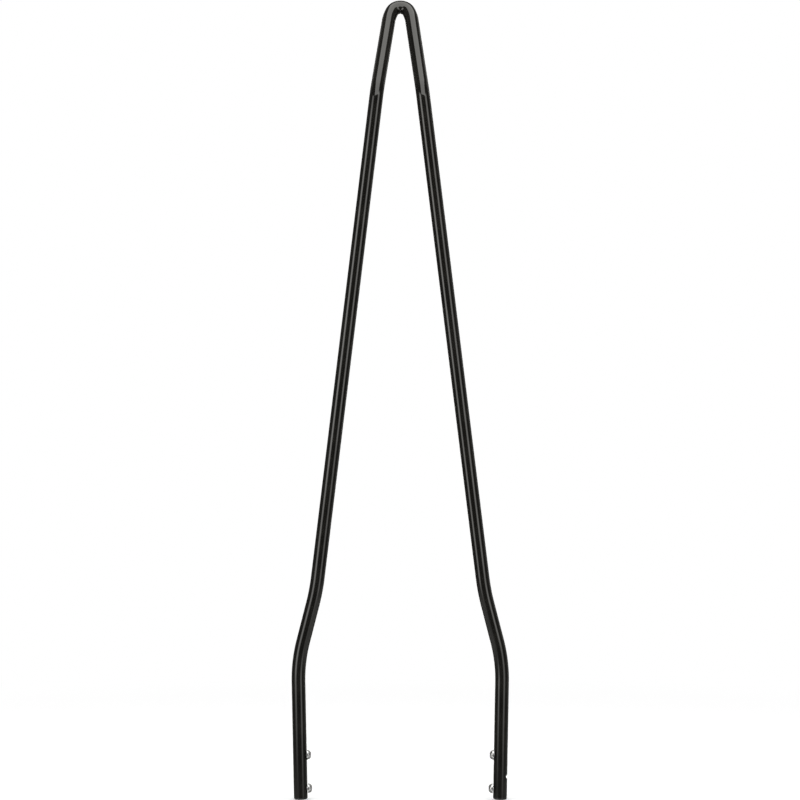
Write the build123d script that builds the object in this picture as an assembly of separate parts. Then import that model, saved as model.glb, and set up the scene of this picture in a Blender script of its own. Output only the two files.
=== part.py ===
import os
from math import atan, cos, radians, sin, tan

from build123d import *

# Sissy bar for a motorbike: one round steel bar bent to a tall, narrow A, and four screws with lock
# washers in its feet.
# X runs across the bike, +Y to the rear and +Z up. The origin lies midway between the two legs, at the
# middle of the screw pattern. Lengths are in millimetres and angles in degrees.

# Round bar, 5/8 inch
bar_diameter = 15.875
foot_rounding = 2.5

# Bend points of the bar's centre line: heights above the feet, spacings from leg to leg
foot_spacing = 226.7
lower_bend_height = 157.4
lower_bend_spacing = 232.7
lower_bend_radius = 172.0
upper_bend_height = 237.8
upper_bend_spacing = 191.3
upper_bend_radius = 234.0
kick_height = 808.0
kick_spacing = 51.75
kick_radius = 30.0
kick_angle = 32.0

# Loop at the top, in the plane that the kick tips to the rear: above its shoulders the bar leans in more
shoulder_radius = 50.0
loop_lean = 22.9
loop_straight = 1.0
loop_inside_radius = 2.5

# Tapped holes in the inner sides of the legs, 1/4 inch
lower_hole_height = 12.7
hole_pitch = 38.1
thread_diameter = 6.35
thread_clearance = 0.05
thread_depth = 12.0
tap_drill_diameter = 5.1
drill_point_angle = 118.0
countersink_diameter = 8.4

# Half-round notch for a 3/16 inch locking pin, across the outer side of the leg at +X
notch_diameter = 4.7625
notch_depth = 1.5
notch_height = 26.4

# Button head screws, run in by hand so that their heads stand off the legs
screw_length = 12.7
screw_tip_chamfer = 0.7
head_diameter = 11.1
head_height = 3.35
head_rim_height = 0.45
head_crown_diameter = 5.4
socket_across_flats = 3.97
socket_depth = 1.9
upper_stand_off = 1.1
lower_stand_off = 1.7

# Split lock washers under the screw heads
washer_diameter = 12.0
washer_bore = 6.6
washer_thickness = 0.95
washer_split = 0.8

# Values that follow from the sizes above
bar_radius = bar_diameter / 2
thread_radius = thread_diameter / 2
foot_z = -(lower_hole_height + hole_pitch / 2)
leg_lean = (lower_bend_spacing - foot_spacing) / 2 / lower_bend_height
point_slope = tan(radians(90 - drill_point_angle / 2))
closing = (upper_bend_spacing - kick_spacing) / 2 / (kick_height - upper_bend_height)
loop_radius = loop_inside_radius + bar_radius
shoulder_tangent = shoulder_radius * tan((radians(loop_lean) - atan(closing)) / 2)
loop_tangent = loop_radius / tan(radians(loop_lean))
loop_run = shoulder_tangent + loop_straight + loop_tangent
shoulder_x = loop_run * sin(radians(loop_lean))
shoulder_reach = (kick_spacing / 2 - shoulder_x) / closing
apex_reach = shoulder_reach + loop_run * cos(radians(loop_lean))


def tipped_point(x, reach):
    """Point in the plane that the kick tips to the rear, at a reach up that plane from the kick."""
    tip = radians(kick_angle)
    return Vector(x, reach * sin(tip), foot_z + kick_height + reach * cos(tip))


def bend_points(side):
    """Corners of one leg's centre line, from its foot up to the loop's shoulder; side is 1 or -1."""
    foot = Vector(side * foot_spacing / 2, 0, foot_z)
    lower = Vector(side * lower_bend_spacing / 2, 0, foot_z + lower_bend_height)
    upper = Vector(side * upper_bend_spacing / 2, 0, foot_z + upper_bend_height)
    kick = Vector(side * kick_spacing / 2, 0, foot_z + kick_height)
    shoulder = tipped_point(side * shoulder_x, shoulder_reach)
    return [foot, lower, upper, kick, shoulder]


def leg_axis_x(height):
    """Distance of a leg's centre line from the middle plane, at a height above the feet."""
    return foot_spacing / 2 + leg_lean * height


def hole_heights():
    return [lower_hole_height, lower_hole_height + hole_pitch]


def inner_side_plane(side, height):
    """Plane on the inmost line of a leg, facing the other leg."""
    seat = side * (leg_axis_x(height) - bar_radius)
    return Plane((seat, 0, foot_z + height), x_dir=(0, 1, 0), z_dir=(-side, 0, 0))


def turned(outline):
    """Solid of revolution about Z from a closed outline in the XZ plane."""
    return revolve(make_face(Plane.XZ * outline), Axis.Z)


def tapped_hole():
    """Blind tapped hole along -Z with its mouth at Z = 0, countersunk, with a drill point below."""
    bore = thread_radius + thread_clearance
    drill = tap_drill_diameter / 2
    mouth = countersink_diameter / 2
    above = bar_radius
    outline = Polyline(
        (0, above),
        (mouth + above, above),
        (bore, bore - mouth),
        (bore, -thread_depth),
        (drill, -thread_depth),
        (0, -thread_depth - drill * point_slope),
        close=True,
    )
    return turned(outline)


def pin_notch():
    """Round cutter along Y that leaves a shallow groove in the outer side of the leg at +X."""
    notch_radius = notch_diameter / 2
    axis_x = leg_axis_x(notch_height) + bar_radius + notch_radius - notch_depth
    cutter = Cylinder(notch_radius, 2 * bar_diameter, rotation=(90, 0, 0))
    return Pos(axis_x, 0, foot_z + notch_height) * cutter


def bent_bar():
    right = bend_points(1)
    left = bend_points(-1)
    apex = tipped_point(0, apex_reach)
    corners = right + [apex] + left[::-1]
    leg_radii = [lower_bend_radius, upper_bend_radius, kick_radius, shoulder_radius]
    radii = leg_radii + [loop_radius] + leg_radii[::-1]
    path = FilletPolyline(corners, radius=radii)
    section = Plane(path @ 0, z_dir=path % 0) * Circle(bar_radius)
    bar = sweep(section, path=path)

    foot_faces = bar.faces().sort_by(Axis.Z)[:2]
    foot_rims = [face.edges()[0] for face in foot_faces]
    bar = fillet(foot_rims, foot_rounding)

    for side in (1, -1):
        for height in hole_heights():
            bar -= inner_side_plane(side, height) * tapped_hole()

    return bar - pin_notch()


def button_head_screw():
    """Screw along Z with the underside of its head at Z = 0 and its shank below."""
    rim = head_diameter / 2
    crown = head_crown_diameter / 2
    fall = head_height - head_rim_height
    dome_centre = (head_height + head_rim_height - (rim**2 - crown**2) / fall) / 2
    dome_radius = ((head_height - dome_centre) ** 2 + crown**2) ** 0.5
    tip = thread_radius - screw_tip_chamfer
    flanks = Polyline(
        (crown, head_height),
        (0, head_height),
        (0, -screw_length),
        (tip, -screw_length),
        (thread_radius, screw_tip_chamfer - screw_length),
        (thread_radius, 0),
        (rim, 0),
        (rim, head_rim_height),
    )
    dome = RadiusArc((rim, head_rim_height), (crown, head_height), -dome_radius)
    screw = turned(flanks + dome)
    socket = RegularPolygon(socket_across_flats / 2, 6, major_radius=False)
    return screw - extrude(Pos(0, 0, head_height - socket_depth) * socket, socket_depth)


def lock_washer():
    """Split ring about Z with its upper face at Z = 0, where the screw's head bears on it."""
    ring = Circle(washer_diameter / 2) - Circle(washer_bore / 2)
    split = Pos(washer_diameter / 2, 0) * Rectangle(washer_diameter, washer_split)
    return extrude(ring - split, -washer_thickness)


def at_screw_seats(piece):
    """Four copies of a piece, each with its Z = 0 plane at the underside of a screw's head."""
    placed = []
    for side in (1, -1):
        for height, stand_off in zip(hole_heights(), (lower_stand_off, upper_stand_off)):
            seat = inner_side_plane(side, height).offset(stand_off)
            placed.append(seat * piece)
    return Compound(placed)


os.makedirs("parts", exist_ok=True)
export_step(bent_bar(), "parts/bent_bar.step")
export_step(at_screw_seats(button_head_screw()), "parts/mounting_screws.step")
export_step(at_screw_seats(lock_washer()), "parts/lock_washers.step")
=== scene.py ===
import math

import bmesh
import bpy
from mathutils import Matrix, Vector


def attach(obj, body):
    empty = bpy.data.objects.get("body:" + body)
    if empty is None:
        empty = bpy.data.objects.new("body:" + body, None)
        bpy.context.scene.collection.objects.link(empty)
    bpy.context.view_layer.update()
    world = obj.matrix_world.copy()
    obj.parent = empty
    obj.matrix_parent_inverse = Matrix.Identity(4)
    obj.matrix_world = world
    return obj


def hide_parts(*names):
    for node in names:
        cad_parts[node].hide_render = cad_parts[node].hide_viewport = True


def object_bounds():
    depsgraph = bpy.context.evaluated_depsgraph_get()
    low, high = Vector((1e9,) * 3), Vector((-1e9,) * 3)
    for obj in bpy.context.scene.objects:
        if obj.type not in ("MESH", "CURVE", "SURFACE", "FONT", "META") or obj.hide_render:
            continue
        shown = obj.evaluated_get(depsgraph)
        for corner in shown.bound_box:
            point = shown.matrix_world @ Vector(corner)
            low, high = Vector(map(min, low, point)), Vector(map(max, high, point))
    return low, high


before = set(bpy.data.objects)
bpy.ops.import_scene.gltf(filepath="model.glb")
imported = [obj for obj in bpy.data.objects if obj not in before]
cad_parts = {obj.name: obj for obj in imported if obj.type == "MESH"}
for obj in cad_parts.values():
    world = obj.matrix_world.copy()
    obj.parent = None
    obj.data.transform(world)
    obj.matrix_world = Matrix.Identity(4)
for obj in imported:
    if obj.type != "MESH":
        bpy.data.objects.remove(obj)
cadLow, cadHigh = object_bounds()
print("frame loaded, nodes:", sorted(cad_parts))


# small helpers for node trees

def addNode(tree, kind, inputs=None, **settings):
    node = tree.nodes.new(kind)
    for name, value in settings.items():
        setattr(node, name, value)
    for key, value in (inputs or {}).items():
        if isinstance(value, bpy.types.NodeSocket):
            tree.links.new(value, node.inputs[key])
        else:
            node.inputs[key].default_value = value
    return node


def mathNode(tree, operation, first, second=0.0):
    return addNode(tree, "ShaderNodeMath", {0: first, 1: second}, operation=operation).outputs[0]


# eased step from one level to another
def rampNode(tree, value, fromLow, fromHigh, toLow=0.0, toHigh=1.0):
    inputs = {0: value, 1: fromLow, 2: fromHigh, 3: toLow, 4: toHigh}
    return addNode(tree, "ShaderNodeMapRange", inputs, interpolation_type="SMOOTHSTEP").outputs[0]


# the Mix node takes its colours at sockets 6 and 7 and gives the mix at socket 2
def colourMix(tree, factor, first, second):
    inputs = {0: factor, 6: first, 7: second}
    return addNode(tree, "ShaderNodeMix", inputs, data_type="RGBA").outputs[2]


def bumpNode(tree, height, distance, under=None):
    inputs = {"Strength": 1.0, "Distance": distance, "Height": height}
    if under is not None:
        inputs["Normal"] = under
    return addNode(tree, "ShaderNodeBump", inputs).outputs[0]


# distance of a place from the Z axis
def axisDistance(tree, place):
    flat = addNode(tree, "ShaderNodeVectorMath", {0: place, 1: (1, 1, 0)}, operation="MULTIPLY")
    return addNode(tree, "ShaderNodeVectorMath", {0: flat.outputs[0]}, operation="LENGTH").outputs["Value"]


def newTree(name, kind, inputs, outputs):
    tree = bpy.data.node_groups.new(name, kind)
    for label, socketType in inputs:
        tree.interface.new_socket(label, in_out="INPUT", socket_type=socketType)
    for label, socketType in outputs:
        tree.interface.new_socket(label, in_out="OUTPUT", socket_type=socketType)
    source = tree.nodes.new("NodeGroupInput").outputs
    target = tree.nodes.new("NodeGroupOutput").inputs
    return tree, source, target


def newMaterial(name):
    material = bpy.data.materials.new(name)
    material.use_nodes = True
    material.node_tree.nodes.clear()
    return material, material.node_tree


def setSurface(tree, shader):
    addNode(tree, "ShaderNodeOutputMaterial", {"Surface": shader.outputs[0]})


def newObject(name, data):
    made = bpy.data.objects.new(name, data)
    bpy.context.scene.collection.objects.link(made)
    return made


# runs a geometry node tree on an object and keeps the result as a plain mesh
def settleNodes(name, base, tree, values):
    modifier = base.modifiers.new("shape", "NODES")
    modifier.node_group = tree
    for item in tree.interface.items_tree:
        if item.in_out == "INPUT" and item.name in values:
            modifier[item.identifier] = values[item.name]
    graph = bpy.context.evaluated_depsgraph_get()
    mesh = bpy.data.meshes.new_from_object(base.evaluated_get(graph), depsgraph=graph)
    base.modifiers.remove(modifier)
    bpy.data.objects.remove(base)
    mesh.name = name
    return newObject(name, mesh)


# small helpers for meshes

def ringPoint(radius, angle, height):
    return radius * math.cos(angle), radius * math.sin(angle), height


# closed mesh about Z from (radius, height) rows that start and end on the axis
# a radius is a number, or a function of the angle
def turnedMesh(name, rows, sides):
    shape = bmesh.new()
    rings = []
    for radius, height in rows:
        if radius == 0:
            rings.append([shape.verts.new((0, 0, height))])
            continue
        ring = []
        for i in range(sides):
            angle = math.tau * i / sides
            reach = radius(angle) if callable(radius) else radius
            ring.append(shape.verts.new(ringPoint(reach, angle, height)))
        rings.append(ring)
    joinRings(shape, rings)
    return finishedMesh(name, shape)


# faces between neighbouring rings, three-sided where a ring is a single point
def joinRings(shape, rings):
    for lower, upper in zip(rings, rings[1:]):
        count = max(len(lower), len(upper))
        for i in range(count):
            j = (i + 1) % count
            corners = [lower[i % len(lower)], lower[j % len(lower)],
                       upper[j % len(upper)], upper[i % len(upper)]]
            shape.faces.new(list(dict.fromkeys(corners)))


def finishedMesh(name, shape):
    bmesh.ops.recalc_face_normals(shape, faces=shape.faces[:])
    mesh = bpy.data.meshes.new(name)
    shape.to_mesh(mesh)
    shape.free()
    return mesh


def smoothShade(made, sharpAngle):
    made.data.shade_smooth()
    made.data.set_sharp_from_angle(angle=math.radians(sharpAngle))


# shader group: slow clouds, fine grain and sparse specks, used by all three finishes
handledLook = {
    "cloudDetail": 3.0,
    "cloudRoughness": 0.55,
    "grainDetail": 1.5,
    "grainRoughness": 0.4,
    "speckFrom": 0.82,  # only cells with a draw above this hold a speck
}


def buildHandledSurface():
    look = handledLook
    inputs = [("Place", "NodeSocketVector"), ("Cloud Scale", "NodeSocketFloat"),
              ("Grain Scale", "NodeSocketFloat"), ("Speck Scale", "NodeSocketFloat"),
              ("Speck Size", "NodeSocketFloat")]
    outputs = [("Cloud", "NodeSocketFloat"), ("Grain", "NodeSocketFloat"), ("Specks", "NodeSocketFloat")]
    tree, source, target = newTree("handledSurface", "ShaderNodeTree", inputs, outputs)
    place = source["Place"]
    cloud = addNode(tree, "ShaderNodeTexNoise",
                    {"Vector": place, "Scale": source["Cloud Scale"],
                     "Detail": look["cloudDetail"], "Roughness": look["cloudRoughness"]})
    grain = addNode(tree, "ShaderNodeTexNoise",
                    {"Vector": place, "Scale": source["Grain Scale"],
                     "Detail": look["grainDetail"], "Roughness": look["grainRoughness"]})
    cells = addNode(tree, "ShaderNodeTexVoronoi", {"Vector": place, "Scale": source["Speck Scale"]})
    draw = addNode(tree, "ShaderNodeSeparateColor", {0: cells.outputs["Color"]})
    chosen = mathNode(tree, "GREATER_THAN", draw.outputs[0], look["speckFrom"])
    near = mathNode(tree, "LESS_THAN", cells.outputs["Distance"], source["Speck Size"])
    tree.links.new(cloud.outputs[0], target["Cloud"])
    tree.links.new(grain.outputs[0], target["Grain"])
    tree.links.new(mathNode(tree, "MULTIPLY", chosen, near), target["Specks"])
    return tree


handledSurface = buildHandledSurface()


def surfaceMasks(tree, place, values):
    node = addNode(tree, "ShaderNodeGroup", node_tree=handledSurface)
    tree.links.new(place, node.inputs["Place"])
    for name, value in values.items():
        node.inputs[name].default_value = value
    return node.outputs


# gloss black paint: stoved enamel with a faint orange peel under a clear, hard gloss
glossBlackLook = {
    "deep": (0.0040, 0.0036, 0.0027, 1),
    "worn": (0.0085, 0.0078, 0.0062, 1),
    "wornFrom": 0.35,
    "wornTo": 0.7,
    "dust": (0.05, 0.048, 0.045, 1),
    "roughLow": 0.26,
    "roughHigh": 0.36,
    "dustRough": 0.3,
    "baseGloss": 0.03,
    "coatRoughness": 0.035,
    "coatIor": 1.5,
    "peelHeight": 0.0000022,
    "swellHeight": 0.000012,
    "masks": {"Cloud Scale": 38.0, "Grain Scale": 620.0, "Speck Scale": 260.0, "Speck Size": 0.055},
}


def buildGlossBlack():
    look = glossBlackLook
    material, tree = newMaterial("glossBlackPaint")
    place = addNode(tree, "ShaderNodeTexCoord").outputs["Object"]
    masks = surfaceMasks(tree, place, look["masks"])
    worn = rampNode(tree, masks["Cloud"], look["wornFrom"], look["wornTo"])
    base = colourMix(tree, worn, look["deep"], look["worn"])
    colour = colourMix(tree, masks["Specks"], base, look["dust"])
    rough = mathNode(tree, "ADD", rampNode(tree, worn, 0.0, 1.0, look["roughLow"], look["roughHigh"]),
                     mathNode(tree, "MULTIPLY", masks["Specks"], look["dustRough"]))
    swell = bumpNode(tree, masks["Cloud"], look["swellHeight"])
    peel = bumpNode(tree, masks["Grain"], look["peelHeight"], swell)
    paint = addNode(tree, "ShaderNodeBsdfPrincipled",
                    {"Base Color": colour, "Roughness": rough, "Normal": peel,
                     "Specular IOR Level": look["baseGloss"], "Coat Weight": 1.0,
                     "Coat Roughness": look["coatRoughness"], "Coat IOR": look["coatIor"],
                     "Coat Normal": peel})
    setSurface(tree, paint)
    return material


# bright plated steel of the screws and washers: turning rings, read from each one's own place
brightPlateLook = {
    "bright": (0.74, 0.74, 0.75, 1),
    "dull": (0.5, 0.505, 0.51, 1),
    "dullFrom": 0.45,
    "dullTo": 0.72,
    "roughFrom": 0.3,
    "roughTo": 0.7,
    "roughLow": 0.2,
    "roughHigh": 0.33,
    "ringScale": 5200.0,
    "ringHeight": 0.0000016,
    "masks": {"Cloud Scale": 420.0, "Grain Scale": 6000.0, "Speck Scale": 1500.0, "Speck Size": 0.16},
}


def buildBrightPlate():
    look = brightPlateLook
    material, tree = newMaterial("brightPlatedSteel")
    place = addNode(tree, "ShaderNodeAttribute", attribute_name="seatPlace").outputs["Vector"]
    masks = surfaceMasks(tree, place, look["masks"])
    turns = mathNode(tree, "MULTIPLY", axisDistance(tree, place), look["ringScale"] * math.tau)
    rings = mathNode(tree, "SINE", turns)
    dull = rampNode(tree, masks["Cloud"], look["dullFrom"], look["dullTo"])
    tarnish = mathNode(tree, "MAXIMUM", dull, masks["Specks"])
    colour = colourMix(tree, tarnish, look["bright"], look["dull"])
    rough = rampNode(tree, masks["Cloud"], look["roughFrom"], look["roughTo"],
                     look["roughLow"], look["roughHigh"])
    turned = bumpNode(tree, rings, look["ringHeight"])
    grained = bumpNode(tree, masks["Grain"], look["ringHeight"], turned)
    plate = addNode(tree, "ShaderNodeBsdfPrincipled",
                    {"Base Color": colour, "Roughness": rough, "Metallic": 1.0, "Normal": grained})
    setSurface(tree, plate)
    return material


# bare steel in the tapped holes, with the thread's turns across the hole
cutSteelLook = {
    "clean": (0.42, 0.41, 0.40, 1),
    "oiled": (0.16, 0.15, 0.14, 1),
    "oiledFrom": 0.4,
    "oiledTo": 0.65,
    "roughFrom": 0.3,
    "roughTo": 0.7,
    "roughLow": 0.28,
    "roughHigh": 0.46,
    "threadPitch": 0.00127,
    "threadHeight": 0.0002,
    "masks": {"Cloud Scale": 300.0, "Grain Scale": 3500.0, "Speck Scale": 900.0, "Speck Size": 0.2},
}


def buildCutSteel():
    look = cutSteelLook
    material, tree = newMaterial("cutSteel")
    place = addNode(tree, "ShaderNodeTexCoord").outputs["Object"]
    masks = surfaceMasks(tree, place, look["masks"])
    oiled = rampNode(tree, masks["Cloud"], look["oiledFrom"], look["oiledTo"])
    oily = mathNode(tree, "MAXIMUM", oiled, masks["Specks"])
    colour = colourMix(tree, oily, look["clean"], look["oiled"])
    rough = rampNode(tree, masks["Grain"], look["roughFrom"], look["roughTo"],
                     look["roughLow"], look["roughHigh"])
    along = addNode(tree, "ShaderNodeSeparateXYZ", {0: place}).outputs[0]
    turns = mathNode(tree, "SINE", mathNode(tree, "MULTIPLY", along, math.tau / look["threadPitch"]))
    cut = bumpNode(tree, turns, look["threadHeight"])
    steel = addNode(tree, "ShaderNodeBsdfPrincipled",
                    {"Base Color": colour, "Roughness": rough, "Metallic": 1.0, "Normal": cut})
    setSurface(tree, steel)
    return material


glossBlack = buildGlossBlack()
brightPlate = buildBrightPlate()
cutSteel = buildCutSteel()
print("finishes built")


# the bent bar: a round section drawn up one leg, over the loop and down the other leg
barSizes = {
    "barRadius": 0.0079375,
    "footRounding": 0.0025,
    "footSpacing": 0.2267,
    "lowerBendHeight": 0.1574,
    "lowerBendSpacing": 0.2327,
    "lowerBendRadius": 0.172,
    "upperBendHeight": 0.2378,
    "upperBendSpacing": 0.1913,
    "upperBendRadius": 0.234,
    "kickHeight": 0.808,
    "kickSpacing": 0.05175,
    "kickRadius": 0.03,
    "kickAngle": 32.0,
    "shoulderRadius": 0.05,
    "loopLean": 22.9,
    "loopStraight": 0.001,
    "loopInsideRadius": 0.0025,
    "roundSides": 96,
    "bendSteps": 40,
    "roundingSteps": 10,
    "ringPitch": 0.0008,  # rings stand this close where the holes are cut
    "ringReach": 0.066,
    "weldDistance": 0.000001,
    "sharpAngle": 32.0,
}

# tapped holes on the inner sides of the legs, 118 degree drill points
holeSizes = {
    "lowerHeight": 0.0127,
    "pitch": 0.0381,
    "boreRadius": 0.003225,
    "threadDepth": 0.012,
    "drillRadius": 0.00255,
    "pointSlope": math.tan(math.radians(90 - 118 / 2)),
    "mouthRadius": 0.0042,
    "bareBelow": 0.0001,  # faces further down than this below the countersink are bare
    "sides": 64,
}

# half-round notch for a locking pin, across the outer side of the leg at +X
notchSizes = {"radius": 0.00238125, "depth": 0.0015, "height": 0.0264, "sides": 64}

footZ = -(holeSizes["lowerHeight"] + holeSizes["pitch"] / 2)
holeHeights = [holeSizes["lowerHeight"], holeSizes["lowerHeight"] + holeSizes["pitch"]]


# distance of a leg's centre line from the middle, at a height above the feet
def legAxisX(height):
    s = barSizes
    lean = (s["lowerBendSpacing"] - s["footSpacing"]) / 2 / s["lowerBendHeight"]
    return s["footSpacing"] / 2 + lean * height


# corners of one leg as (place, bend radius), foot first
def legCorners(side):
    s = barSizes
    rows = [(s["footSpacing"], 0, 0),
            (s["lowerBendSpacing"], s["lowerBendHeight"], s["lowerBendRadius"]),
            (s["upperBendSpacing"], s["upperBendHeight"], s["upperBendRadius"]),
            (s["kickSpacing"], s["kickHeight"], s["kickRadius"])]
    return [(Vector((side * spacing / 2, 0, footZ + height)), bend) for spacing, height, bend in rows]


# shoulder, apex and shoulder of the loop, in the plane that the kick tips to the rear
def loopCorners():
    s = barSizes
    closing = (s["upperBendSpacing"] - s["kickSpacing"]) / 2 / (s["kickHeight"] - s["upperBendHeight"])
    lean = math.radians(s["loopLean"])
    loopRadius = s["loopInsideRadius"] + s["barRadius"]
    shoulderTangent = s["shoulderRadius"] * math.tan((lean - math.atan(closing)) / 2)
    run = shoulderTangent + s["loopStraight"] + loopRadius / math.tan(lean)
    shoulderX = run * math.sin(lean)
    shoulderReach = (s["kickSpacing"] / 2 - shoulderX) / closing
    rows = [(shoulderX, shoulderReach, s["shoulderRadius"]),
            (0, shoulderReach + run * math.cos(lean), loopRadius),
            (-shoulderX, shoulderReach, s["shoulderRadius"])]
    tip = math.radians(s["kickAngle"])
    base = footZ + s["kickHeight"]
    return [(Vector((x, reach * math.sin(tip), base + reach * math.cos(tip))), bend)
            for x, reach, bend in rows]


# distances up a leg of the rings that round the foot and of the close rings by the holes
def footRings():
    s = barSizes
    steps = s["roundingSteps"]
    rounding = [s["footRounding"] * (1 - math.cos(math.pi / 2 * i / steps)) for i in range(1, steps + 1)]
    count = int((s["ringReach"] - s["footRounding"]) / s["ringPitch"])
    return rounding + [s["footRounding"] + s["ringPitch"] * (i + 1) for i in range(count)]


# the bar's corners as one open line, each with its bend radius
def buildRoute():
    legs = []
    for side in (1, -1):
        corners = legCorners(side)
        foot = corners[0][0]
        upward = (corners[1][0] - foot).normalized()
        legs.append(corners[:1] + [(foot + upward * d, 0) for d in footRings()] + corners[1:])
    points = legs[0] + loopCorners() + legs[1][::-1]
    curve = bpy.data.curves.new("barRoute", "CURVE")
    curve.dimensions = "3D"
    spline = curve.splines.new("POLY")
    spline.points.add(len(points) - 1)
    for point, (place, bend) in zip(spline.points, points):
        point.co = (*place, 1)
        point.radius = bend
    return newObject("barRoute", curve)


def buildHoleCutter():
    s = holeSizes
    above = barSizes["barRadius"]
    throat = s["boreRadius"] - s["mouthRadius"]
    profile = [(0, above), (s["mouthRadius"] + above, above), (s["boreRadius"], throat),
               (s["boreRadius"], -s["threadDepth"]), (s["drillRadius"], -s["threadDepth"]),
               (0, -s["threadDepth"] - s["drillRadius"] * s["pointSlope"])]
    mesh = turnedMesh("holeCutter", profile, s["sides"])
    bare = mesh.attributes.new("bareSteel", "BOOLEAN", "FACE")
    for face in mesh.polygons:
        bare.data[face.index].value = face.center.z < throat - s["bareBelow"]
    return newObject("holeCutter", mesh)


def buildNotchCutter():
    radius = notchSizes["radius"]
    half = 2 * barSizes["barRadius"]
    profile = [(0, -half), (radius, -half), (radius, half), (0, half)]
    mesh = turnedMesh("notchCutter", profile, notchSizes["sides"])
    mesh.attributes.new("bareSteel", "BOOLEAN", "FACE")  # none of it: the notch is painted
    return newObject("notchCutter", mesh)


# one point for each placed shape, with the way it faces and its turn about its own axis
def buildPlaces(name, rows):
    mesh = bpy.data.meshes.new(name)
    mesh.from_pydata([place for place, facing, turn in rows], [], [])
    mesh.attributes.new("facing", "FLOAT_VECTOR", "POINT")
    mesh.attributes.new("turn", "FLOAT", "POINT")
    for i, (place, facing, turn) in enumerate(rows):
        mesh.attributes["facing"].data[i].vector = facing
        mesh.attributes["turn"].data[i].value = math.radians(turn)
    return newObject(name, mesh)


def namedValue(tree, name, kind):
    return addNode(tree, "GeometryNodeInputNamedAttribute", {"Name": name}, data_type=kind).outputs[0]


# sets copies of a shape on points, each facing its own way
def placeCopies(tree, points, shape):
    facing = namedValue(tree, "facing", "FLOAT_VECTOR")
    turn = namedValue(tree, "turn", "FLOAT")
    aligned = addNode(tree, "FunctionNodeAlignRotationToVector", {"Vector": facing}, axis="Z")
    spin = addNode(tree, "FunctionNodeAxisAngleToRotation", {"Axis": (0, 0, 1), "Angle": turn})
    rotation = addNode(tree, "FunctionNodeRotateRotation",
                       {"Rotation": aligned.outputs[0], "Rotate By": spin.outputs[0]},
                       rotation_space="LOCAL")
    shown = addNode(tree, "GeometryNodeObjectInfo", {"Object": shape, "As Instance": True})
    copies = addNode(tree, "GeometryNodeInstanceOnPoints",
                     {"Points": points, "Instance": shown.outputs["Geometry"],
                      "Rotation": rotation.outputs[0]})
    return addNode(tree, "GeometryNodeRealizeInstances", {0: copies.outputs[0]}).outputs[0]


def buildBarTree():
    inputs = [("Route", "NodeSocketGeometry"), ("Bar Radius", "NodeSocketFloat"),
              ("Foot Rounding", "NodeSocketFloat"), ("Round Sides", "NodeSocketInt"),
              ("Bend Steps", "NodeSocketInt"), ("Weld Distance", "NodeSocketFloat"),
              ("Hole Places", "NodeSocketObject"), ("Hole Cutter", "NodeSocketObject"),
              ("Notch Places", "NodeSocketObject"), ("Notch Cutter", "NodeSocketObject"),
              ("Paint", "NodeSocketMaterial"), ("Bare Metal", "NodeSocketMaterial")]
    outputs = [("Bar", "NodeSocketGeometry")]
    tree, source, target = newTree("bentBarShape", "GeometryNodeTree", inputs, outputs)
    bend = addNode(tree, "GeometryNodeInputRadius").outputs[0]
    route = addNode(tree, "GeometryNodeFilletCurve",
                    {"Curve": source["Route"], "Count": source["Bend Steps"], "Radius": bend}, mode="POLY")

    # the section narrows to a quarter round at both feet
    rounding = source["Foot Rounding"]
    along = addNode(tree, "GeometryNodeSplineParameter").outputs["Length"]
    whole = addNode(tree, "GeometryNodeSplineLength").outputs["Length"]
    fromEnd = mathNode(tree, "MINIMUM", along, mathNode(tree, "SUBTRACT", whole, along))
    short = mathNode(tree, "SUBTRACT", rounding, mathNode(tree, "MINIMUM", fromEnd, rounding))
    squares = mathNode(tree, "SUBTRACT", mathNode(tree, "MULTIPLY", rounding, rounding),
                       mathNode(tree, "MULTIPLY", short, short))
    core = mathNode(tree, "SUBTRACT", source["Bar Radius"], rounding)
    radius = mathNode(tree, "ADD", core, mathNode(tree, "SQRT", mathNode(tree, "MAXIMUM", squares, 0.0)))
    scale = mathNode(tree, "DIVIDE", radius, source["Bar Radius"])

    circle = addNode(tree, "GeometryNodeCurvePrimitiveCircle",
                     {"Resolution": source["Round Sides"], "Radius": source["Bar Radius"]}, mode="RADIUS")
    drawn = addNode(tree, "GeometryNodeCurveToMesh",
                    {"Curve": route.outputs[0], "Profile Curve": circle.outputs[0], "Scale": scale,
                     "Fill Caps": True})

    cutters = addNode(tree, "GeometryNodeJoinGeometry")
    for label in ("Hole", "Notch"):
        shown = addNode(tree, "GeometryNodeObjectInfo", {"Object": source[label + " Places"]})
        copies = placeCopies(tree, shown.outputs["Geometry"], source[label + " Cutter"])
        tree.links.new(copies, cutters.inputs[0])
    painted = [addNode(tree, "GeometryNodeSetMaterial",
                       {"Geometry": made.outputs[0], "Material": source["Paint"]}).outputs[0]
               for made in (drawn, cutters)]
    cut = addNode(tree, "GeometryNodeMeshBoolean", {"Mesh 1": painted[0], "Mesh 2": painted[1]},
                  operation="DIFFERENCE", solver="MANIFOLD")

    # the weld takes out the slivers that the cut leaves
    welded = addNode(tree, "GeometryNodeMergeByDistance",
                     {"Geometry": cut.outputs[0], "Distance": source["Weld Distance"]})
    single = addNode(tree, "GeometryNodeRealizeInstances", {0: welded.outputs[0]})
    bared = addNode(tree, "GeometryNodeSetMaterial",
                    {"Geometry": single.outputs[0], "Selection": namedValue(tree, "bareSteel", "BOOLEAN"),
                     "Material": source["Bare Metal"]})
    tree.links.new(bared.outputs[0], target["Bar"])
    return tree


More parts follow.
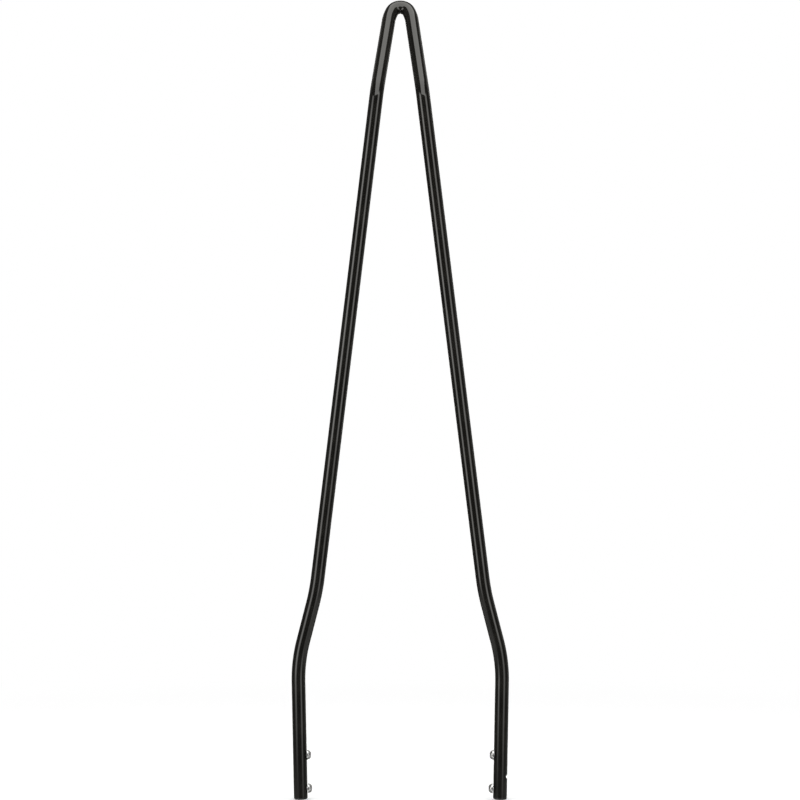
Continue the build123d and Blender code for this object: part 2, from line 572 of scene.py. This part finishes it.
def buildBar():
    s = barSizes
    holes = [((side * (legAxisX(h) - s["barRadius"]), 0, footZ + h), (-side, 0, 0), 0)
             for side in (1, -1) for h in holeHeights]
    notchX = legAxisX(notchSizes["height"]) + s["barRadius"] + notchSizes["radius"] - notchSizes["depth"]
    notches = [((notchX, 0, footZ + notchSizes["height"]), (0, 1, 0), 0)]
    helpers = {"Hole Places": buildPlaces("holePlaces", holes), "Hole Cutter": buildHoleCutter(),
               "Notch Places": buildPlaces("notchPlaces", notches), "Notch Cutter": buildNotchCutter()}
    values = {"Bar Radius": s["barRadius"], "Foot Rounding": s["footRounding"],
              "Round Sides": s["roundSides"], "Bend Steps": s["bendSteps"],
              "Weld Distance": s["weldDistance"], "Paint": glossBlack, "Bare Metal": cutSteel, **helpers}
    made = settleNodes("blackBar", buildRoute(), buildBarTree(), values)
    for helper in helpers.values():
        bpy.data.objects.remove(helper)
    smoothShade(made, s["sharpAngle"])
    return made


bar = buildBar()
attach(bar, "root")
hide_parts("bent_bar")
print("bar drawn and drilled:", len(bar.data.polygons), "faces")


# button head screws, run in by hand so that their heads stand off the legs
screwSizes = {
    "length": 0.0127,
    "threadRadius": 0.003175,
    "threadPitch": 0.00127,
    "threadDepth": 0.00072,
    "crestHalf": 0.06,  # half the crest and the flank's width, as shares of a turn
    "flankWidth": 0.33,
    "runInFrom": 0.0002,
    "runInLength": 0.0004,
    "tipChamfer": 0.0007,
    "neckWidth": 0.0002,
    "neckDrop": 0.0001,
    "headRadius": 0.00555,
    "headHeight": 0.00335,
    "headEdge": 0.00012,
    "rimHeight": 0.00045,
    "crownRadius": 0.0027,
    "socketAcross": 0.00397,
    "socketDepth": 0.0019,
    "socketLead": 0.00018,
    "socketEase": 0.00004,
    "sides": 60,
    "domeSteps": 14,
    "ringsPerTurn": 14,
    "standOffs": (0.0017, 0.0011),  # lower and upper screw
    "turns": (12, 47, 26, 5),
    "sharpAngle": 28.0,
}


def socketRadius(angle):
    sixth = math.pi / 3
    return screwSizes["socketAcross"] / 2 / math.cos((angle + sixth / 2) % sixth - sixth / 2)


def threadRadiusAt(angle, height):
    s = screwSizes
    phase = (height / s["threadPitch"] - angle / math.tau) % 1
    # crest in the middle of a turn, root at its ends
    flank = min(max((abs(phase - 0.5) - s["crestHalf"]) / s["flankWidth"], 0), 1)
    runIn = min(max((-height - s["runInFrom"]) / s["runInLength"], 0), 1)
    chamfer = s["threadRadius"] - max(0, s["tipChamfer"] - (s["length"] + height))
    return min(s["threadRadius"] - s["threadDepth"] * flank * runIn, chamfer)


# rings of one screw from the bottom of its socket over the head and down to the tip
def screwRings():
    s = screwSizes
    top = s["headHeight"]
    rim = s["headRadius"]
    crown = s["crownRadius"]
    socketMouth = s["socketAcross"] / 2 / math.cos(math.pi / 6) + s["socketEase"]
    rows = [(0, top - s["socketDepth"]),
            (socketRadius, top - s["socketDepth"]),
            (socketRadius, top - s["socketLead"]),
            (socketMouth, top),
            (crown, top)]
    fall = top - s["rimHeight"]
    centre = (top + s["rimHeight"] - (rim ** 2 - crown ** 2) / fall) / 2
    dome = math.hypot(top - centre, crown)
    first = math.atan2(crown, top - centre)
    last = math.atan2(rim, s["rimHeight"] - centre)
    for i in range(1, s["domeSteps"] + 1):
        angle = first + (last - first) * i / s["domeSteps"]
        rows.append((dome * math.sin(angle), centre + dome * math.cos(angle)))
    rows += [(rim, s["headEdge"]), (rim - s["headEdge"], 0), (s["threadRadius"] + s["neckWidth"], 0)]
    step = s["threadPitch"] / s["ringsPerTurn"]
    heights = [-s["neckDrop"] - step * i for i in range(int(s["length"] / step))]
    for height in [h for h in heights if -h <= s["length"]] + [-s["length"]]:
        rows.append((lambda angle, h=height: threadRadiusAt(angle, h), height))
    rows.append((0, -s["length"]))
    return rows


# keeps each point's place on its own piece, so that the finish follows every copy alike
def markOwnPlace(mesh):
    place = mesh.attributes.new("seatPlace", "FLOAT_VECTOR", "POINT")
    for vertex in mesh.vertices:
        place.data[vertex.index].vector = vertex.co


def buildScrew():
    mesh = turnedMesh("screw", screwRings(), screwSizes["sides"])
    markOwnPlace(mesh)
    return newObject("screw", mesh)


# split lock washers under the heads, with broken edges
washerSizes = {
    "radius": 0.006,
    "bore": 0.0033,
    "thickness": 0.00095,
    "split": 0.0008,
    "edge": 0.00012,
    "sides": 64,
    "turns": (70, 155, 110, 35),
    "sharpAngle": 30.0,
}


def buildWasher():
    s = washerSizes
    edge, low, half = s["edge"], -s["thickness"], s["split"] / 2
    inner, outer = s["bore"], s["radius"]
    section = [(inner, -edge), (inner + edge, 0), (outer - edge, 0), (outer, -edge),
               (outer, low + edge), (outer - edge, low), (inner + edge, low), (inner, low + edge)]
    shape = bmesh.new()
    rings = []
    for i in range(s["sides"] + 1):
        ring = []
        for radius, height in section:
            gap = math.asin(half / radius)
            angle = gap + (math.tau - 2 * gap) * (i / s["sides"])
            ring.append(shape.verts.new(ringPoint(radius, angle, height)))
        rings.append(ring)
    joinRings(shape, rings)
    shape.faces.new(rings[0])
    shape.faces.new(rings[-1])
    mesh = finishedMesh("washer", shape)
    markOwnPlace(mesh)
    return newObject("washer", mesh)


def buildSeatTree():
    inputs = [("Places", "NodeSocketGeometry"), ("Piece", "NodeSocketObject"),
              ("Plating", "NodeSocketMaterial")]
    outputs = [("Pieces", "NodeSocketGeometry")]
    tree, source, target = newTree("seatedSet", "GeometryNodeTree", inputs, outputs)
    copies = placeCopies(tree, source["Places"], source["Piece"])
    plated = addNode(tree, "GeometryNodeSetMaterial", {"Geometry": copies, "Material": source["Plating"]})
    tree.links.new(plated.outputs[0], target["Pieces"])
    return tree


seatTree = buildSeatTree()


# four copies of a piece, each at the underside of a screw's head
def buildSeated(name, piece, sizes):
    rows = []
    for side in (1, -1):
        for height, standOff in zip(holeHeights, screwSizes["standOffs"]):
            seat = side * (legAxisX(height) - barSizes["barRadius"] - standOff)
            rows.append(((seat, 0, footZ + height), (-side, 0, 0), sizes["turns"][len(rows)]))
    places = buildPlaces(name + "Places", rows)
    made = settleNodes(name, places, seatTree, {"Piece": piece, "Plating": brightPlate})
    bpy.data.objects.remove(piece)
    smoothShade(made, sizes["sharpAngle"])
    return made


screws = buildSeated("footScrews", buildScrew(), screwSizes)
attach(screws, "root")
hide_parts("mounting_screws")
washers = buildSeated("lockWashers", buildWasher(), washerSizes)
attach(washers, "root")
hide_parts("lock_washers")
print("screws and washers seated:", len(screws.data.polygons) + len(washers.data.polygons), "faces")


# camera: level, at the height of the bar's middle and a little to the right of it
# it is rolled a hair, as the bar stands in the picture
cameraSizes = {
    "distance": 3.36,
    "sideways": 0.045,
    "heightAboveFeet": 0.455,
    "lens": 132.75,
    "sensor": 36.0,
    "roll": 0.05,
}


def buildCamera():
    s = cameraSizes
    data = bpy.data.cameras.new("camera")
    data.lens = s["lens"]
    data.sensor_width = s["sensor"]
    camera = newObject("camera", data)
    camera.location = (s["sideways"], -s["distance"], footZ + s["heightAboveFeet"])
    pan = math.atan2(s["sideways"], s["distance"])
    camera.rotation_euler = (math.pi / 2, math.radians(s["roll"]), pan)
    bpy.context.scene.camera = camera


buildCamera()
print("camera set")


# floor and world: plain white to the eye, the floor keeps the shadow near the feet
floorSizes = {
    "radius": 6.0,
    "segments": 96,
    "gap": 0.0002,  # below the feet
    "pale": (0.86, 0.86, 0.86, 1),
    "lift": 0.3,
    "fadeFrom": 0.7,
    "fadeTo": 1.5,
}
worldLevels = {"seen": 1.0, "soft": 0.4}


def seenRays(tree):
    path = addNode(tree, "ShaderNodeLightPath").outputs
    shiny = mathNode(tree, "MAXIMUM", path["Is Glossy Ray"], path["Is Transmission Ray"])
    return mathNode(tree, "MAXIMUM", path["Is Camera Ray"], shiny)


def buildFloor():
    s = floorSizes
    shape = bmesh.new()
    bmesh.ops.create_circle(shape, cap_ends=True, segments=s["segments"], radius=s["radius"])
    for vertex in shape.verts:
        vertex.co.z = cadLow.z - s["gap"]
    floor = newObject("floor", finishedMesh("floor", shape))
    material, tree = newMaterial("paleFloor")
    place = addNode(tree, "ShaderNodeTexCoord").outputs["Object"]
    away = rampNode(tree, axisDistance(tree, place), s["fadeFrom"], s["fadeTo"])
    seen = seenRays(tree)
    pale = addNode(tree, "ShaderNodeBsdfDiffuse", {"Color": s["pale"]})
    lift = addNode(tree, "ShaderNodeEmission", {"Strength": mathNode(tree, "MULTIPLY", seen, s["lift"])})
    near = addNode(tree, "ShaderNodeAddShader", {0: pale.outputs[0], 1: lift.outputs[0]})
    far = addNode(tree, "ShaderNodeEmission", {"Strength": worldLevels["seen"]})
    fade = mathNode(tree, "MULTIPLY", seen, away)
    setSurface(tree, addNode(tree, "ShaderNodeMixShader", {0: fade, 1: near.outputs[0], 2: far.outputs[0]}))
    floor.data.materials.append(material)
    floor.visible_glossy = False


def buildWorld():
    world = bpy.data.worlds.new("studio")
    bpy.context.scene.world = world
    world.use_nodes = True
    tree = world.node_tree
    tree.nodes.clear()
    soft, white = [addNode(tree, "ShaderNodeBackground",
                           {"Color": (1, 1, 1, 1), "Strength": worldLevels[key]}).outputs[0]
                   for key in ("soft", "seen")]
    mixed = addNode(tree, "ShaderNodeMixShader", {0: seenRays(tree), 1: soft, 2: white})
    addNode(tree, "ShaderNodeOutputWorld", {"Surface": mixed.outputs[0]})


buildFloor()
buildWorld()


# soft lamps: one overhead, one each side of the camera, all aimed at the bar's middle
barMiddle = (0, 0, 0.42)
lampRows = [
    {"name": "overhead", "place": (0, -0.3, 2.8), "size": (2.4, 2.4), "power": 38},
    {"name": "leftSide", "place": (-2.2, -1.6, 1.5), "size": (1.2, 2.0), "power": 24},
    {"name": "rightSide", "place": (2.2, -1.8, 1.5), "size": (1.2, 2.0), "power": 22},
]


def buildLamp(row):
    data = bpy.data.lights.new(row["name"], "AREA")
    data.shape = "RECTANGLE"
    data.size, data.size_y = row["size"]
    data.energy = row["power"]
    lamp = newObject(row["name"], data)
    lamp.location = row["place"]
    aim = Vector(barMiddle) - Vector(row["place"])
    lamp.rotation_euler = aim.to_track_quat("-Z", "Y").to_euler()
    lamp.visible_glossy = False
    lamp.visible_camera = False


for row in lampRows:
    buildLamp(row)
print("floor, world and lamps set")


# cards round the object that only its gloss sees: a dark surround with soft panels in front of it
# azimuth 0 is the camera's side and +90 is +X, angles in degrees
# edges are the shares of a card that fade out: at each side, below and above
warmWhite = (1.0, 0.992, 0.95, 1)
surround = {"centre": barMiddle, "radius": 3.0, "dark": 0.10, "low": 0.16, "lowFrom": -45, "lowTo": -28}
uprightCards = [
    {"name": "leftPanel", "radius": 1.4, "azimuths": (-72, -29), "heights": (-0.25, 1.2), "level": 3.15,
     "edges": (0.45, 0.23, 0.2)},
    {"name": "leftUpper", "radius": 0.8, "azimuths": (-72, -29), "heights": (0.34, 1.01), "level": 1.0,
     "edges": (0.45, 0.15, 0.25)},
    {"name": "rightPanel", "radius": 1.4, "azimuths": (21, 62), "heights": (-0.3, 1.4), "level": 1.85,
     "edges": (0.45, 0.165, 0.2)},
    {"name": "rightUpper", "radius": 1.42, "azimuths": (21, 62), "heights": (0.17, 1.4), "level": 1.1,
     "edges": (0.45, 0.11, 0.28)},
    {"name": "leftFoot", "radius": 1.35, "azimuths": (-72, -29), "heights": (-1.6, -0.42), "level": 2.4,
     "edges": (0.45, 0.3, 0.3)},
    {"name": "rightFoot", "radius": 1.35, "azimuths": (21, 62), "heights": (-1.6, -0.42), "level": 2.0,
     "edges": (0.45, 0.3, 0.3)},
    {"name": "leftLow", "radius": 2.4, "azimuths": (-125, -14), "heights": (-1.9, -0.2), "level": 0.5,
     "edges": (0.2, 0.1, 0.27)},
    {"name": "rightLow", "radius": 2.4, "azimuths": (14, 125), "heights": (-1.9, -0.2), "level": 0.55,
     "edges": (0.2, 0.1, 0.27)},
    {"name": "leftHigh", "radius": 2.3, "azimuths": (-165, -95), "heights": (1.1, 3.2), "level": 0.22,
     "edges": (0.2, 0.2, 0.2)},
    {"name": "rightHigh", "radius": 2.3, "azimuths": (95, 165), "heights": (1.1, 3.2), "level": 0.36,
     "edges": (0.2, 0.2, 0.2)},
    {"name": "rightBack", "radius": 2.3, "azimuths": (92, 160), "heights": (-0.6, 1.8), "level": 0.22,
     "edges": (0.25, 0.2, 0.2)},
    {"name": "backPanel", "radius": 2.2, "azimuths": (163, 197), "heights": (-1.7, 1.8), "level": 2.6,
     "edges": (0.35, 0.12, 0.2)},
    {"name": "frontLow", "radius": 1.3, "azimuths": (-44, 34), "heights": (-2.3, -0.7), "level": 1.5,
     "edges": (0.5, 0.2, 0.2)},
    {"name": "backLow", "radius": 1.3, "azimuths": (140, 212), "heights": (-2.3, -0.75), "level": 1.9,
     "edges": (0.5, 0.2, 0.2)},
]
# the overhead panel arches from the front over the top, pitch 0 is level to the front and 90 straight up
archedCard = {"name": "topPanel", "centre": (0, 0.03, 0.83), "radius": 1.2, "pitches": (8.5, 108),
              "sides": (-27, 35), "level": 3.1, "edges": (0.07, 0.03, 0.05)}


def between(ends, part):
    return ends[0] + (ends[1] - ends[0]) * part


def shellPlace(row):
    def place(u, v):
        turn, rise = math.tau * u, math.pi * (v - 0.5)
        facing = Vector((math.sin(turn) * math.cos(rise), -math.cos(turn) * math.cos(rise), math.sin(rise)))
        return Vector(row["centre"]) + facing * row["radius"]
    return place


def uprightPlace(row):
    def place(u, v):
        turn = math.radians(between(row["azimuths"], u))
        height = between(row["heights"], v)
        return Vector((row["radius"] * math.sin(turn), -row["radius"] * math.cos(turn), height))
    return place


def archedPlace(row):
    def place(u, v):
        side = math.radians(between(row["sides"], u))
        pitch = math.radians(between(row["pitches"], v))
        facing = Vector((math.sin(side), -math.cos(side) * math.cos(pitch),
                         math.cos(side) * math.sin(pitch)))
        return Vector(row["centre"]) + facing * row["radius"]
    return place


# a curved sheet through place(u, v), with u and v as its UV map
def buildSheet(name, place, across=48, up=32):
    shape = bmesh.new()
    layer = shape.loops.layers.uv.new("panel")
    grid = [[shape.verts.new(place(i / across, j / up)) for i in range(across + 1)] for j in range(up + 1)]
    for j in range(up):
        for i in range(across):
            corners = [(i, j), (i + 1, j), (i + 1, j + 1), (i, j + 1)]
            face = shape.faces.new([grid[b][a] for a, b in corners])
            for loop, (a, b) in zip(face.loops, corners):
                loop[layer].uv = (a / across, b / up)
    mesh = bpy.data.meshes.new(name)
    shape.to_mesh(mesh)
    shape.free()
    sheet = newObject(name, mesh)
    sheet.visible_camera = False
    sheet.visible_diffuse = False
    sheet.visible_transmission = False
    sheet.visible_shadow = False
    return sheet


# shader group: 1 in the middle of a card, falling to 0 at its edges
def buildSoftEdge():
    inputs = [("Across", "NodeSocketFloat"), ("Low", "NodeSocketFloat"), ("High", "NodeSocketFloat")]
    tree, source, target = newTree("softEdge", "ShaderNodeTree", inputs, [("Mask", "NodeSocketFloat")])
    uv = addNode(tree, "ShaderNodeUVMap", uv_map="panel").outputs[0]
    u, v = addNode(tree, "ShaderNodeSeparateXYZ", {0: uv}).outputs[:2]
    offMiddle = mathNode(tree, "ABSOLUTE", mathNode(tree, "SUBTRACT", u, 0.5))
    sides = rampNode(tree, mathNode(tree, "SUBTRACT", 0.5, offMiddle), 0.0, source["Across"])
    low = rampNode(tree, v, 0.0, source["Low"])
    high = rampNode(tree, mathNode(tree, "SUBTRACT", 1.0, v), 0.0, source["High"])
    mask = mathNode(tree, "MULTIPLY", sides, mathNode(tree, "MULTIPLY", low, high))
    tree.links.new(mask, target["Mask"])
    return tree


softEdge = buildSoftEdge()


def buildSurround():
    s = surround
    shell = buildSheet("surround", shellPlace(s))
    material, tree = newMaterial("surroundGrey")
    place = addNode(tree, "ShaderNodeTexCoord").outputs["Object"]
    height = addNode(tree, "ShaderNodeSeparateXYZ", {0: place}).outputs[2]
    low = [s["centre"][2] + s["radius"] * math.sin(math.radians(s[key])) for key in ("lowFrom", "lowTo")]
    level = rampNode(tree, height, low[0], low[1], s["low"], s["dark"])
    setSurface(tree, addNode(tree, "ShaderNodeEmission", {"Color": warmWhite, "Strength": level}))
    shell.data.materials.append(material)


def buildCard(row, place):
    card = buildSheet(row["name"], place)
    material, tree = newMaterial(row["name"] + "Glow")
    mask = addNode(tree, "ShaderNodeGroup", node_tree=softEdge)
    for name, width in zip(("Across", "Low", "High"), row["edges"]):
        mask.inputs[name].default_value = width
    strength = mathNode(tree, "MULTIPLY", mask.outputs[0], row["level"])
    glow = addNode(tree, "ShaderNodeEmission", {"Color": warmWhite, "Strength": strength})
    clear = addNode(tree, "ShaderNodeBsdfTransparent")
    setSurface(tree, addNode(tree, "ShaderNodeAddShader", {0: glow.outputs[0], 1: clear.outputs[0]}))
    card.data.materials.append(material)


buildSurround()
for row in uprightCards:
    buildCard(row, uprightPlace(row))
buildCard(archedCard, archedPlace(archedCard))

bpy.context.scene.view_settings.view_transform = "Standard"
print("cards set")
